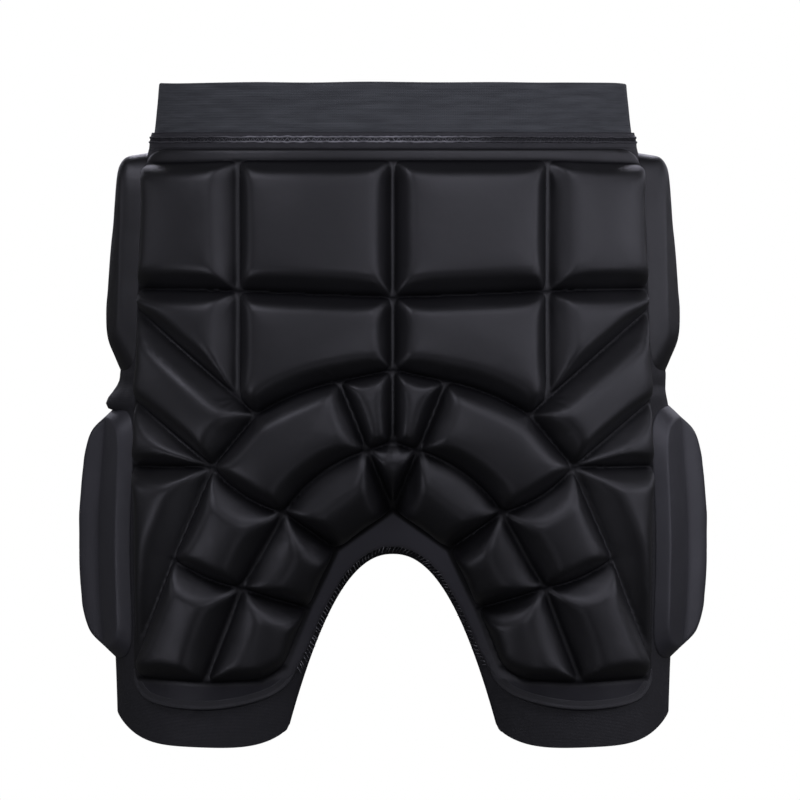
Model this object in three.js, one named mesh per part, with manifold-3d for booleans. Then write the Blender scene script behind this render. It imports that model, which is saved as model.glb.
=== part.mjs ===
// Padded protective shorts for skating and snow sports, in the form they have when worn.
// Millimetres. +X is the wearer's right, +Y the wearer's front, +Z up.
// The origin is the middle of the waist opening, level with the waistband's top edge.
import * as THREE from "three";
import { mergeVertices } from "three/addons/utils/BufferGeometryUtils.js";
import Module from "manifold-3d";

const wasm = await Module();
wasm.setup();

// Driving dimensions.
const LENGTH = 392; // waistband's top edge to the lowest point of the hems
const WAISTBAND_HEIGHT = 33.6;
const WAISTBAND_WALL = 2.4;
const CLOTH_WALL = 1.6;
const CUFF_TOP = -362; // level where the shorts are sewn to the leg cuffs
const SEAM_GAP = 0.3; // clearance where two pieces are sewn edge to edge
const LAYER_GAP = 0.5; // clearance between the cloth and what lies on it
const SHELL_TOP = -WAISTBAND_HEIGHT - SEAM_GAP;

const CROTCH = -277; // level of the crotch's highest point
const LEG_GAP_HALF = 66; // half the gap between the legs at the hems
const LEG_GAP_POWER = 0.45; // how fast the gap opens below the crotch
const HEM_RISE = { inner: 8, outer: 16 }; // how much higher the hem is at a leg's sides than in its middle

const PAD_WEB = 4; // thickness of the back pad in its grooves and margin
const PAD_RISE = 11; // how far its cells stand above the grooves
const CELL_BEVEL = 13; // width of the rounded slope round a cell
const GROOVE_HALF = 1.2; // half the width of a groove's flat floor
const PAD_TOP = -39.6;
const PAD_CORNER_X = 136; // where its top edge turns into the rounded upper corner
const PAD_CLEAR = 4.5; // how far its edge keeps from the gap between the legs
const PAD_SINK = 4; // how deep a pad is drawn into the body before the body is cut from it

const TAPE_TOP = -29.6; // the tape that covers the waist seam
const TAPE_BOTTOM = -38.8;
const TAPE_WALL = 1.4;
const BINDING_WIDTH = 7; // the binding along the back pad's lower edges
const BINDING_WALL = 1.2;
const BINDING_GAP = 0.8; // clearance between the binding and the pad under it
const BINDING_INSET = 0.8; // how far the binding keeps in from the pad's edge
const BINDING_START = { x: 58, z: -346 }; // it runs on the edge that is further out and lower

// Facet counts.
const COLUMNS = 44; // round the body
const BODY_ROWS = 13; // down the shorts to the cuffs
const CUFF_ROWS = 2;
const CELL_STEP = 16; // spacing of points along a cell's edge
const OUTLINE_STEPS = 50; // points along one half of the back pad's outline
const PAD_SPOKES = 26; // round a side pad

// The body's form, a row for each level. Each section is two half ellipses, and the cleft
// pulls its middle inwards between the legs, fading over the spread to either side.
const BODY = [
  { z: 0, half_width: 140, back: 84, front: 80, back_cleft: 0, front_cleft: 0, spread: 36 },
  { z: -34, half_width: 143.5, back: 89, front: 84, back_cleft: 0, front_cleft: 0, spread: 36 },
  { z: -60, half_width: 150, back: 96, front: 90, back_cleft: 0, front_cleft: 0, spread: 36 },
  { z: -110, half_width: 156, back: 108, front: 97, back_cleft: 0, front_cleft: 0, spread: 36 },
  { z: -170, half_width: 161.5, back: 120, front: 100, back_cleft: 2, front_cleft: 0, spread: 38 },
  { z: -220, half_width: 165.5, back: 124, front: 99, back_cleft: 11, front_cleft: 0, spread: 44 },
  { z: -265, half_width: 168, back: 122, front: 96, back_cleft: 46, front_cleft: 16, spread: 52 },
  { z: -305, half_width: 167.5, back: 117, front: 94, back_cleft: 80, front_cleft: 45, spread: 58 },
  { z: -345, half_width: 165, back: 112, front: 93, back_cleft: 96, front_cleft: 62, spread: 60 },
  { z: -393, half_width: 163.5, back: 108, front: 92, back_cleft: 105, front_cleft: 72, spread: 62 },
];

// How much wider the gap between the legs is from back to front.
const LEG_GAP_FLARE = [
  { y: -160, flare: 0 },
  { y: 16, flare: 0 },
  { y: 42, flare: 4 },
  { y: 62, flare: 14 },
  { y: 140, flare: 60 },
];

// Where the back pad's grooves meet, on the right half, as seen from straight behind.
const JUNCTIONS = {
  top_centre: { x: 0, z: -47.5 },
  top_mid: { x: 91.5, z: -47.5 },
  top_side: { x: 148, z: -50 },
  row_centre: { x: 0, z: -127 },
  row_mid: { x: 90.5, z: -123.5 },
  row_side: { x: 149.5, z: -122.5 },
  arch_crown: { x: 0, z: -168 },
  arch_wedge: { x: 31.5, z: -175 },
  arch_foot: { x: 80, z: -195 },
  column_foot: { x: 90.5, z: -185.5 },
  slant_high: { x: 150, z: -134 },
  slant_low: { x: 152.5, z: -187.5 },
  flank_side: { x: 153, z: -227 },
  flank: { x: 105.5, z: -225.5 },
  seat: { x: 65.5, z: -250 },
  wedge_foot: { x: 15.5, z: -213.5 },
  tail_crown: { x: 0, z: -208.5 },
  tail_tip: { x: 0, z: -247 },
  inner_top: { x: 36.5, z: -271.5 },
  inner_mid: { x: 54.5, z: -308 },
  inner_low: { x: 68.5, z: -343 },
  inner_foot: { x: 81, z: -351 },
  thigh_mid: { x: 91, z: -295 },
  thigh_side: { x: 129.5, z: -279.5 },
  foot_mid: { x: 111.5, z: -352.5 },
  foot_side: { x: 149.5, z: -348.5 },
  foot_high: { x: 148.5, z: -337.5 },
};

// Grooves that bend, by how far their middle lies to the left of the straight way from a to b.
const BENT_GROOVES = [
  { a: "arch_foot", b: "arch_wedge", bulge: -2.5 },
  { a: "seat", b: "wedge_foot", bulge: -5.5 },
  { a: "flank", b: "seat", bulge: 4 },
  { a: "thigh_side", b: "thigh_mid", bulge: 2.5 },
];

// The back pad's raised cells on the right half, by the junctions round each.
const CELLS = [
  { name: "upper_inner", round: ["top_centre", "row_centre", "row_mid", "top_mid"] },
  { name: "upper_outer", round: ["top_mid", "row_mid", "row_side", "top_side"] },
  {
    name: "lower_inner",
    round: ["row_centre", "arch_crown", "arch_wedge", "arch_foot", "column_foot", "row_mid"],
  },
  { name: "lower_outer", round: ["row_mid", "column_foot", "slant_high", "row_side"] },
  { name: "slant", round: ["column_foot", "arch_foot", "flank", "slant_low", "slant_high"] },
  { name: "flank", round: ["flank", "flank_side", "slant_low"] },
  { name: "arch", round: ["arch_wedge", "wedge_foot", "seat", "flank", "arch_foot"] },
  { name: "tail", round: ["arch_crown", "tail_crown", "wedge_foot", "arch_wedge"] },
  { name: "seat_inner", round: ["wedge_foot", "tail_tip", "inner_top", "seat"] },
  { name: "seat_mid", round: ["flank", "seat", "thigh_mid", "thigh_side"] },
  { name: "thigh_inner", round: ["seat", "inner_top", "inner_mid", "thigh_mid"] },
  { name: "foot_inner", round: ["thigh_mid", "inner_mid", "inner_low", "inner_foot", "foot_mid"] },
  { name: "foot_outer", round: ["thigh_side", "thigh_mid", "foot_mid", "foot_side", "foot_high"] },
  { name: "thigh_outer", round: ["flank", "thigh_side", "foot_high", "flank_side"] },
];

// Where a cell's slope is drawn, as shares of its bevel inwards from the groove.
const CELL_RINGS = [0.3, 0.65, 1];
const CROWN_SHARE = 0.8; // a small cell's slope ends at this share of the way to its middle

// The back pad's edge on the right half, from the foot of the arch round the thigh and up the side.
const PAD_ARCH_FOOT = -336; // level where its edge leaves the gap between the legs
const PAD_FOOT = [
  { x: 66, z: -355 },
  { x: 83, z: -364.5 },
  { x: 112, z: -370 },
  { x: 143, z: -367.5 },
  { x: 154.5, z: -357 },
  { x: 155.5, z: -342 },
];
const PAD_SIDE = [
  { x: 155.5, z: -342 },
  { x: 156, z: -228 },
  { x: 154, z: -178 },
  { x: 153, z: -130 },
  { x: 151, z: -62 },
];

// The pads on the sides, by the levels and the angles round the body that each covers. Its rear edge
// follows the back pad's, from one angle at its top to another at its bottom. The slope is the share
// of the pad's half size over which its edge rises, and the lift makes the upper edge rise faster
// than the lower one.
const SIDE_PADS = [
  {
    name: "hip_pad",
    top: -42,
    bottom: -172,
    rear_top: 80,
    rear_bottom: 68.6,
    front: 128,
    rise: 13,
    slope: 0.3,
    lift: 36,
  },
  {
    name: "thigh_pad",
    top: -193,
    bottom: -343,
    rear_top: 66.8,
    rear_bottom: 66.8,
    front: 124,
    rise: 19,
    slope: 0.34,
    lift: 0,
  },
];

// A side pad's rise from its edge inwards, as shares of its slope and of its rise.
const SIDE_PAD_RINGS = [
  { inwards: 0, share: 0.14 },
  { inwards: 0.22, share: 0.35 },
  { inwards: 0.6, share: 0.78 },
  { inwards: 1.1, share: 0.96 },
  { inwards: 1.7, share: 1 },
];

const SIDE_PAD_ROUNDNESS = 0.55; // 1 makes a side pad oval, and 0 square

const MATERIALS = {
  elastic: new THREE.MeshStandardMaterial({ color: 0x2c2d31, roughness: 0.85, metalness: 0 }),
  jersey: new THREE.MeshStandardMaterial({ color: 0x17171a, roughness: 0.8, metalness: 0 }),
  pad_cover: new THREE.MeshStandardMaterial({ color: 0x1c1c20, roughness: 0.55, metalness: 0 }),
  tape: new THREE.MeshStandardMaterial({ color: 0x26272b, roughness: 0.75, metalness: 0 }),
};

// The body form.

// A column of the BODY table at level z, on a smooth curve through its rows.
function bodyAt(column, z) {
  const last = BODY.length - 1;
  const level = Math.min(BODY[0].z, Math.max(BODY[last].z, z));
  let row = 0;
  while (row < last - 1 && BODY[row + 1].z > level) row += 1;
  const slope = (i) => {
    const above = BODY[Math.max(i - 1, 0)];
    const below = BODY[Math.min(i + 1, last)];
    return (below[column] - above[column]) / (below.z - above.z);
  };
  const [from, to] = [BODY[row], BODY[row + 1]];
  const span = to.z - from.z;
  const s = (level - from.z) / span;
  const blend = s * s * (3 - 2 * s);
  const leave = s * (1 - s) ** 2 * span * slope(row);
  const arrive = s * s * (s - 1) * span * slope(row + 1);
  return from[column] + (to[column] - from[column]) * blend + leave + arrive;
}

// A point on the cloth's outer face. The angle runs from the centre back round the right side.
function bodyPoint(angle, z) {
  const x = bodyAt("half_width", z) * Math.sin(angle);
  const fade = Math.exp(-((x / bodyAt("spread", z)) ** 2));
  const facing = Math.cos(angle);
  const y =
    facing > 0
      ? -bodyAt("back", z) * facing + bodyAt("back_cleft", z) * fade
      : -bodyAt("front", z) * facing - bodyAt("front_cleft", z) * fade;
  return new THREE.Vector3(x, y, z);
}

// The same point moved outwards, square to the cloth.
function bodyOffset(angle, z, distance) {
  const turn = 0.01;
  const drop = 1;
  const along = bodyPoint(angle + turn, z).sub(bodyPoint(angle - turn, z));
  const up = bodyPoint(angle, z + drop).sub(bodyPoint(angle, z - drop));
  return bodyPoint(angle, z).addScaledVector(along.cross(up).normalize(), distance);
}

// A point over the cloth where it shows at x and z from straight behind.
function behindOffset(x, z, distance) {
  const shown = LAYER_GAP + PAD_WEB;
  const sine = x / (bodyAt("half_width", z) + shown);
  return bodyOffset(Math.asin(Math.min(1, Math.max(-1, sine))), z, distance);
}

// Half the gap between the legs at level z.
function legGapHalf(z) {
  const share = Math.max(0, CROTCH - z) / (LENGTH + CROTCH);
  return LEG_GAP_HALF * share ** LEG_GAP_POWER;
}

// The right edge of the gap between the legs at level z, as seen from behind, moved out square to it.
function legGapEdge(z, out) {
  const step = 0.5;
  const slope = legGapHalf(z - step) - legGapHalf(z + step);
  const outwards = new THREE.Vector2(2 * step, slope).normalize();
  return new THREE.Vector2(legGapHalf(z), z).addScaledVector(outwards, out);
}

// How far the hem is drawn up at an angle. It hangs lowest in the middle of a leg, front and back,
// and rises in a rounded corner to the leg's inner and outer side.
function hemRise(angle) {
  const outer = bodyAt("half_width", -LENGTH);
  const across = (outer * Math.abs(Math.sin(angle)) - LEG_GAP_HALF) / (outer - LEG_GAP_HALF);
  const rise = across < 0.5 ? HEM_RISE.inner : HEM_RISE.outer;
  return rise * (2 * Math.max(0, across) - 1) ** 4;
}

// Meshes and solids.

function turnOf(a, b, c) {
  return (b.x - a.x) * (c.y - a.y) - (b.y - a.y) * (c.x - a.x);
}

// Whether d lies in the circle through a, b and c, which run anticlockwise.
function inCircle(a, b, c, d) {
  const [p, q, r] = [a, b, c].map((v) => v.clone().sub(d));
  const cross = (u, v) => u.x * v.y - u.y * v.x;
  const inside = p.lengthSq() * cross(q, r) + q.lengthSq() * cross(r, p) + r.lengthSq() * cross(p, q);
  return inside > 1e-6;
}

// The same triangles, anticlockwise, with the sides between them swapped until none is a sliver
// that a swap would mend.
function evened(triangles, points) {
  const even = triangles.map(([a, b, c]) =>
    turnOf(points[a], points[b], points[c]) < 0 ? [a, c, b] : [a, b, c],
  );
  let swapped = true;
  while (swapped) {
    swapped = false;
    const sides = new Map();
    even.forEach((t, k) => t.forEach((a, i) => sides.set(`${a} ${t[(i + 1) % 3]}`, k)));
    const done = new Set();
    even.forEach((first, k) => {
      first.forEach((a, i) => {
        const b = first[(i + 1) % 3];
        const other = sides.get(`${b} ${a}`);
        if (other === undefined || done.has(k) || done.has(other)) return;
        const c = first[(i + 2) % 3];
        const d = even[other].find((v) => v !== a && v !== b);
        if (!inCircle(points[a], points[b], points[c], points[d])) return;
        even[k] = [c, a, d];
        even[other] = [d, b, c];
        done.add(k).add(other);
        swapped = true;
      });
    });
  }
  return even;
}

// Collects points and triangles into one closed geometry.
class Surface {
  points = [];
  triangles = [];

  add(point) {
    this.points.push(point);
    return this.points.length - 1;
  }

  addRing(points) {
    return points.map((p) => this.add(p));
  }

  // A band between two closed rings, each of its quadrangles split the shorter way. Seen from
  // outside, the rings run anticlockwise and the inner one lies to their left.
  band(outer, inner) {
    const apart = (i, j) => this.points[i].distanceTo(this.points[j]);
    outer.forEach((a, i) => {
      const b = outer[(i + 1) % outer.length];
      const c = inner[(i + 1) % outer.length];
      const d = inner[i];
      if (apart(a, c) < apart(b, d)) this.triangles.push([a, b, c], [a, c, d]);
      else this.triangles.push([a, b, d], [b, c, d]);
    });
  }

  fan(ring, centre) {
    ring.forEach((a, i) => this.triangles.push([a, ring[(i + 1) % ring.length], centre]));
  }

  // Triangles over an outline with holes, laid out in the plane and used for these points. With
  // turned they face the other way.
  fill(outline, holes, indices, turned = false) {
    const flat = [outline, ...holes].flat();
    const cut = THREE.ShapeUtils.triangulateShape(outline, holes);
    evened(cut, flat).forEach(([a, b, c]) => {
      this.triangles.push((turned ? [a, c, b] : [a, b, c]).map((i) => indices[i]));
    });
  }

  geometry() {
    const geometry = new THREE.BufferGeometry().setFromPoints(this.points);
    return geometry.setIndex(this.triangles.flat());
  }
}

function solidFrom(geometry) {
  const bare = geometry.clone();
  bare.deleteAttribute("normal");
  bare.deleteAttribute("uv");
  const merged = mergeVertices(bare, 1e-4);
  const vertProperties = merged.attributes.position.array;
  const triVerts = new Uint32Array(merged.index.array);
  return new wasm.Manifold(new wasm.Mesh({ numProp: 3, vertProperties, triVerts }));
}

function geometryFrom(solid) {
  const { vertProperties, triVerts } = solid.getMesh();
  const geometry = new THREE.BufferGeometry();
  geometry.setAttribute("position", new THREE.BufferAttribute(vertProperties, 3));
  return geometry.setIndex(new THREE.BufferAttribute(triVerts, 1));
}

function named(name, geometry, material) {
  const mesh = new THREE.Mesh(geometry, material);
  mesh.name = name;
  return mesh;
}

// Hollow walls.

// A solid with the body's form between two levels, its side a distance outside the cloth.
function bodySolid(top, bottom, rows, distance, hemmed = false) {
  const surface = new Surface();
  const rings = Array.from({ length: rows + 1 }, (_, row) => {
    const level = top + ((bottom - top) * row) / rows;
    const points = Array.from({ length: COLUMNS }, (_, column) => {
      const angle = (2 * Math.PI * column) / COLUMNS;
      const rise = hemmed && row === rows ? hemRise(angle) : 0;
      return bodyOffset(angle, level + rise, distance);
    });
    return surface.addRing(points);
  });
  for (let row = 0; row < rows; row += 1) surface.band(rings[row + 1], rings[row]);
  const flat = (ring) => ring.map((i) => new THREE.Vector2(surface.points[i].x, surface.points[i].y));
  surface.fill(flat(rings[0]), [], rings[0]);
  surface.fill(flat(rings[rows]), [], rings[rows], true);
  return solidFrom(surface.geometry());
}

// The gap between the legs as a solid right through, grown by a distance. It flares at the front,
// where the cloth turns round the thigh.
function legGapSolid(grown) {
  const steps = 12;
  const lowest = LENGTH + CROTCH + 20;
  const surface = new Surface();
  const arch = (flare) => {
    const edge = Array.from({ length: steps + 1 }, (_, i) =>
      legGapEdge(CROTCH - lowest * (i / steps) ** 2, grown + flare),
    );
    edge[0].x = 0;
    const floor = CROTCH - lowest;
    edge.push(new THREE.Vector2(edge[steps].x, floor - grown - flare));
    return [...edge, ...mirrorOutline(edge.slice(1))].reverse();
  };
  const outlines = LEG_GAP_FLARE.map(({ flare }) => arch(flare));
  const rings = LEG_GAP_FLARE.map(({ y }, i) =>
    surface.addRing(outlines[i].map((p) => new THREE.Vector3(p.x, y, p.y))),
  );
  for (let i = 0; i + 1 < rings.length; i += 1) surface.band(rings[i + 1], rings[i]);
  const last = rings.length - 1;
  surface.fill(outlines[0], [], rings[0]);
  surface.fill(outlines[last], [], rings[last], true);
  return solidFrom(surface.geometry());
}

// A wall of the shorts between two levels, open at both ends.
function wallSolid({ top, bottom, rows, wall, hemmed = false }) {
  const past = 8;
  const outer = bodySolid(top, bottom, rows, 0, hemmed);
  const inner = bodySolid(top + past, bottom - past, rows + 1, -wall);
  return outer.subtract(legGapSolid(0)).subtract(inner.subtract(legGapSolid(wall)));
}

// A ring round the body above the crotch, through these levels.
function ringGeometry({ levels, wall, distance = 0 }) {
  const surface = new Surface();
  const round = (z, out) =>
    surface.addRing(
      Array.from({ length: COLUMNS }, (_, column) =>
        bodyOffset((2 * Math.PI * column) / COLUMNS, z, out),
      ),
    );
  const outside = levels.map((z) => round(z, distance));
  const inside = levels.map((z) => round(z, distance - wall)).reverse();
  const section = [...outside, ...inside];
  section.forEach((ring, i) => surface.band(section[(i + 1) % section.length], ring));
  return surface.geometry();
}

function sideOfX(sign) {
  const size = 4 * LENGTH;
  return solidFrom(new THREE.BoxGeometry(size, size, size).translate((sign * size) / 2, 0, 0));
}

// The back pad.

function junction(name) {
  return new THREE.Vector2(JUNCTIONS[name].x, JUNCTIONS[name].z);
}

// Points along the groove from one junction up to the next, without the last.
function groove(from, to) {
  const [start, end] = [junction(from), junction(to)];
  const way = end.clone().sub(start);
  const bent = BENT_GROOVES.find((g) => [g.a, g.b].includes(from) && [g.a, g.b].includes(to));
  const bulge = bent ? (bent.a === from ? bent.bulge : -bent.bulge) : 0;
  const left = new THREE.Vector2(-way.y, way.x).normalize();
  const steps = Math.max(1, Math.round(way.length() / CELL_STEP));
  return Array.from({ length: steps }, (_, i) => {
    const s = i / steps;
    const point = start.clone().addScaledVector(way, s);
    return point.addScaledVector(left, 4 * s * (1 - s) * bulge);
  });
}

function mirrorOutline(outline) {
  return outline.map((p) => new THREE.Vector2(-p.x, p.y)).reverse();
}

// The outlines of all the cells, each anticlockwise as seen from behind.
function cellOutlines() {
  const right = CELLS.map(({ round }) =>
    round.flatMap((name, i) => groove(name, round[(i + 1) % round.length])),
  );
  const tip = [...groove("tail_tip", "wedge_foot"), ...groove("wedge_foot", "tail_crown")];
  const leftOfTip = mirrorOutline(tip.slice(1));
  const centre = [...tip, junction("tail_crown"), ...leftOfTip];
  return [...right, ...right.map(mirrorOutline), centre];
}

function distanceToOutline(point, outline) {
  const toEdge = outline.map((a, i) => {
    const edge = outline[(i + 1) % outline.length].clone().sub(a);
    const s = THREE.MathUtils.clamp(point.clone().sub(a).dot(edge) / edge.lengthSq(), 0, 1);
    return point.distanceTo(a.clone().addScaledVector(edge, s));
  });
  return Math.min(...toEdge);
}

// The middle of the area inside an outline.
function middleOf(outline) {
  const middle = new THREE.Vector2();
  outline.forEach((a, i) => {
    const b = outline[(i + 1) % outline.length];
    middle.addScaledVector(a.clone().add(b), a.cross(b) / 6);
  });
  return middle.divideScalar(THREE.ShapeUtils.area(outline));
}

// The outline drawn in towards its middle until each point is this far from every edge.
function drawnIn(outline, distance) {
  const middle = middleOf(outline);
  return outline.map((corner) => {
    let reach = 1;
    while (distanceToOutline(middle.clone().lerp(corner, reach), outline) < distance) reach -= 0.01;
    return middle.clone().lerp(corner, reach);
  });
}

// How far a cell stands above its groove at this distance from the groove's edge.
function cellRise(distance) {
  return PAD_RISE * Math.sin((Math.min(1, distance / CELL_BEVEL) * Math.PI) / 2);
}

// The pad's outline as seen from behind, anticlockwise, from the crotch round the right side.
function padOutline() {
  const v = ({ x, z }) => new THREE.Vector2(x, z);
  const archSteps = 8;
  const arch = Array.from({ length: archSteps + 1 }, (_, i) =>
    legGapEdge(CROTCH + (PAD_ARCH_FOOT - CROTCH) * (i / archSteps) ** 2, PAD_CLEAR),
  );
  arch[0].x = 0;
  const foot = [arch[archSteps], ...PAD_FOOT.map(v)];
  const side = PAD_SIDE.map(v);
  const shoulder = side[side.length - 1];
  const corner = v({ x: shoulder.x, z: PAD_TOP });
  const top = v({ x: PAD_CORNER_X, z: PAD_TOP });
  const half = new THREE.CurvePath();
  half.add(new THREE.SplineCurve(arch));
  half.add(new THREE.SplineCurve(foot));
  half.add(new THREE.SplineCurve(side));
  half.add(new THREE.QuadraticBezierCurve(shoulder, corner, top));
  half.add(new THREE.LineCurve(top, v({ x: 0, z: PAD_TOP })));
  const right = half.getSpacedPoints(OUTLINE_STEPS);
  const left = mirrorOutline(right).slice(1, -1);
  return [...right, ...left];
}

// One moulded sheet: a flat web with the cells raised from it.
function backPadGeometry() {
  const surface = new Surface();
  const over = (outline, height) =>
    surface.addRing(outline.map((p) => behindOffset(p.x, p.y, LAYER_GAP + height)));
  const outline = padOutline();
  const cells = cellOutlines();
  const rims = cells.map((cell) => drawnIn(cell, GROOVE_HALF));
  const holes = rims.map((rim) => [...rim].reverse());
  const face = over(outline, PAD_WEB);
  const faceRims = rims.map((rim) => over(rim, PAD_WEB));
  const reversedRims = faceRims.flatMap((rim) => [...rim].reverse());
  surface.fill(outline, holes, [...face, ...reversedRims]);
  const back = over(outline, -PAD_SINK);
  const backRims = rims.map((rim) => over(rim, -PAD_SINK));
  const reversedBack = backRims.flatMap((rim) => [...rim].reverse());
  surface.fill(outline, holes, [...back, ...reversedBack], true);
  surface.band(back, face);
  cells.forEach((cell, i) => {
    const middle = middleOf(rims[i]);
    const reach = distanceToOutline(middle, rims[i]);
    let below = faceRims[i];
    CELL_RINGS.forEach((share) => {
      const inset = share * Math.min(CELL_BEVEL, CROWN_SHARE * reach);
      const ring = over(drawnIn(rims[i], inset), PAD_WEB + cellRise(inset));
      surface.band(below, ring);
      below = ring;
    });
    const [crown] = over([middle], PAD_WEB + cellRise(reach));
    surface.fan(below, crown);
    const [sole] = over([middle], -PAD_SINK);
    surface.fan([...backRims[i]].reverse(), sole);
  });
  return surface.geometry();
}

// The binding sewn over the back pad's lower edge on the right leg.
function legBindingGeometry() {
  const height = LAYER_GAP + PAD_WEB + BINDING_GAP;
  const edge = padOutline().filter((p) => p.x > BINDING_START.x && p.y < BINDING_START.z);
  const surface = new Surface();
  const sections = edge.map((p, i) => {
    const before = edge[Math.max(i - 1, 0)];
    const after = edge[Math.min(i + 1, edge.length - 1)];
    const along = after.clone().sub(before).normalize();
    const inwards = new THREE.Vector2(-along.y, along.x);
    const low = p.clone().addScaledVector(inwards, BINDING_INSET);
    const high = low.clone().addScaledVector(inwards, BINDING_WIDTH);
    return surface.addRing([
      behindOffset(low.x, low.y, height + BINDING_WALL),
      behindOffset(high.x, high.y, height + BINDING_WALL),
      behindOffset(high.x, high.y, height),
      behindOffset(low.x, low.y, height),
    ]);
  });
  for (let i = 0; i + 1 < sections.length; i += 1) surface.band(sections[i + 1], sections[i]);
  const [start, end] = [sections[0], sections[sections.length - 1]];
  surface.triangles.push([start[0], start[1], start[2]], [start[0], start[2], start[3]]);
  surface.triangles.push([end[2], end[1], end[0]], [end[3], end[2], end[0]]);
  return surface.geometry();
}

// The pads on the sides.

// A crowned pad on the right side, with rounded corners.
function sidePadGeometry({ top, bottom, rear_top, rear_bottom, front, rise, slope, lift }) {
  const surface = new Surface();
  const bow = (v) => Math.sign(v) * Math.abs(v) ** SIDE_PAD_ROUNDNESS;
  const place = (reach, across, up, height) => {
    const z = (top + bottom) / 2 + (1 - reach) * lift + (reach * (top - bottom) * up) / 2;
    const rear = THREE.MathUtils.mapLinear(z, bottom, top, rear_bottom, rear_top);
    const turn = (rear + front) / 2 + (reach * (front - rear) * across) / 2;
    return bodyOffset(THREE.MathUtils.degToRad(turn), z, LAYER_GAP + height);
  };
  const ring = (reach, height) =>
    surface.addRing(
      Array.from({ length: PAD_SPOKES }, (_, i) => {
        const spoke = (2 * Math.PI * i) / PAD_SPOKES;
        return place(reach, bow(Math.cos(spoke)), bow(Math.sin(spoke)), height);
      }),
    );
  const crown = (height) => surface.add(place(0.5, 0, 0, height));
  const rings = SIDE_PAD_RINGS.map(({ inwards, share }) => ring(1 - slope * inwards, share * rise));
  for (let i = 0; i + 1 < rings.length; i += 1) surface.band(rings[i], rings[i + 1]);
  surface.fan(rings[rings.length - 1], crown(rise));
  const sole = ring(1, -PAD_SINK);
  surface.band(sole, rings[0]);
  surface.fan([...sole].reverse(), crown(-PAD_SINK));
  return surface.geometry();
}

// A mirror image on the wearer's left, with its faces turned to point out again.
function mirrored(geometry) {
  const copy = geometry.clone().scale(-1, 1, 1);
  const index = copy.index.array;
  for (let i = 0; i < index.length; i += 3) [index[i], index[i + 1]] = [index[i + 1], index[i]];
  return copy;
}

function addPair(group, name, geometry, material) {
  group.add(named(`${name}_right`, geometry, material));
  group.add(named(`${name}_left`, mirrored(geometry), material));
}

// What is left of a pad outside the cloth, with the clearance between them.
function onCloth(geometry) {
  const cloth = bodySolid(SHELL_TOP, CUFF_TOP, BODY_ROWS, LAYER_GAP);
  const cuff = bodySolid(CUFF_TOP, -LENGTH, CUFF_ROWS, LAYER_GAP);
  return geometryFrom(solidFrom(geometry).subtract(cloth.add(cuff)));
}

// The assembly.

const shorts = new THREE.Group();

const waistband = ringGeometry({
  levels: [0, -WAISTBAND_HEIGHT / 2, -WAISTBAND_HEIGHT],
  wall: WAISTBAND_WALL,
});
shorts.add(named("waistband", waistband, MATERIALS.elastic));

const seamTape = ringGeometry({
  levels: [TAPE_TOP, TAPE_BOTTOM],
  wall: TAPE_WALL,
  distance: LAYER_GAP + TAPE_WALL,
});
shorts.add(named("waist_seam_tape", seamTape, MATERIALS.tape));

const shell = wallSolid({ top: SHELL_TOP, bottom: CUFF_TOP, rows: BODY_ROWS, wall: CLOTH_WALL });
shorts.add(named("shorts_shell", geometryFrom(shell), MATERIALS.jersey));

const cuffs = wallSolid({
  top: CUFF_TOP - SEAM_GAP,
  bottom: -LENGTH,
  rows: CUFF_ROWS,
  wall: CLOTH_WALL,
  hemmed: true,
});
addPair(shorts, "leg_cuff", geometryFrom(cuffs.intersect(sideOfX(1))), MATERIALS.jersey);

shorts.add(named("back_pad", onCloth(backPadGeometry()), MATERIALS.pad_cover));
addPair(shorts, "leg_binding", legBindingGeometry(), MATERIALS.tape);
SIDE_PADS.forEach((pad) => {
  addPair(shorts, pad.name, onCloth(sidePadGeometry(pad)), MATERIALS.pad_cover);
});

export default shorts;
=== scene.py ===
"""Looks of the padded protective shorts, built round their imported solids.

Shapes are worked out in millimetres in the part's own frame, +X the wearer's right, +Y the wearer's
front and +Z up, and scaled to metres when a mesh is made.
"""

import math

import bmesh
import bpy
import numpy as np
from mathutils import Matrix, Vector, noise
from mathutils.geometry import delaunay_2d_cdt
from mathutils.kdtree import KDTree


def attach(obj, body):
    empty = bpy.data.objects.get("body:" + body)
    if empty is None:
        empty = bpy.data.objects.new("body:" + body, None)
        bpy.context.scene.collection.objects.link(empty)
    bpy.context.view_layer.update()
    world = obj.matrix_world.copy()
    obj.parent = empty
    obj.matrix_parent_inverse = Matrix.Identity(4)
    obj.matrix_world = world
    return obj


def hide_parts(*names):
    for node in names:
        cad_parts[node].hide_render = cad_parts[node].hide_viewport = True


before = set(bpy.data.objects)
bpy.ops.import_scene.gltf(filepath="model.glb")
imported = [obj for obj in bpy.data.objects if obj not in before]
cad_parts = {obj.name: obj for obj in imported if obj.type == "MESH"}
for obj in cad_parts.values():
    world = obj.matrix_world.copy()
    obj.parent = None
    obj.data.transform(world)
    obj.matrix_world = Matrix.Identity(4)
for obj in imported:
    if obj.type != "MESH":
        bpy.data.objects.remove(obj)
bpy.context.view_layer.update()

MM = 0.001
SIDES = {"right": 1, "left": -1}

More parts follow.
